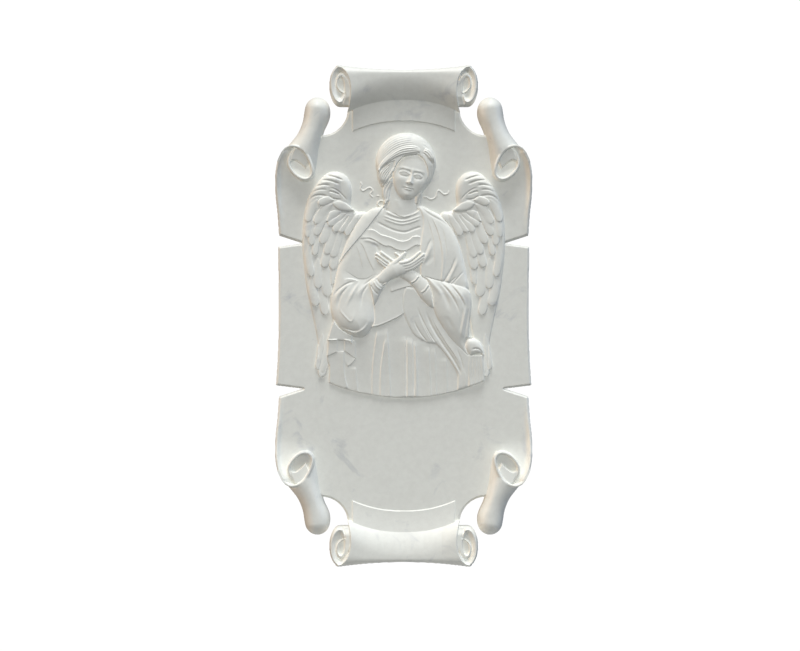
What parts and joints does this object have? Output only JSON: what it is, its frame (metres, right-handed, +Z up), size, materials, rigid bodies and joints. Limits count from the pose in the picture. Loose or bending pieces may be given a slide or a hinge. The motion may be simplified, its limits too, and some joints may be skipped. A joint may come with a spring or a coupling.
{
  "type": "religious relief",
  "caption": "Upright white marble wall relief shaped as an unrolled parchment with scrolled ends and curled corners, carved with a half-length angel with crossed hands.",
  "frame": {"origin": "middle of the flat back, on the wall face", "axes": "+Z up the relief, +Y out of its back into the wall, so its carved front faces -Y"},
  "size_m": [0.5128, 0.0622, 1],
  "materials": {
    "white marble": "honed"
  },
  "bodies": {
    "root": {"relief": "white marble"}
  },
  "joints": []
}
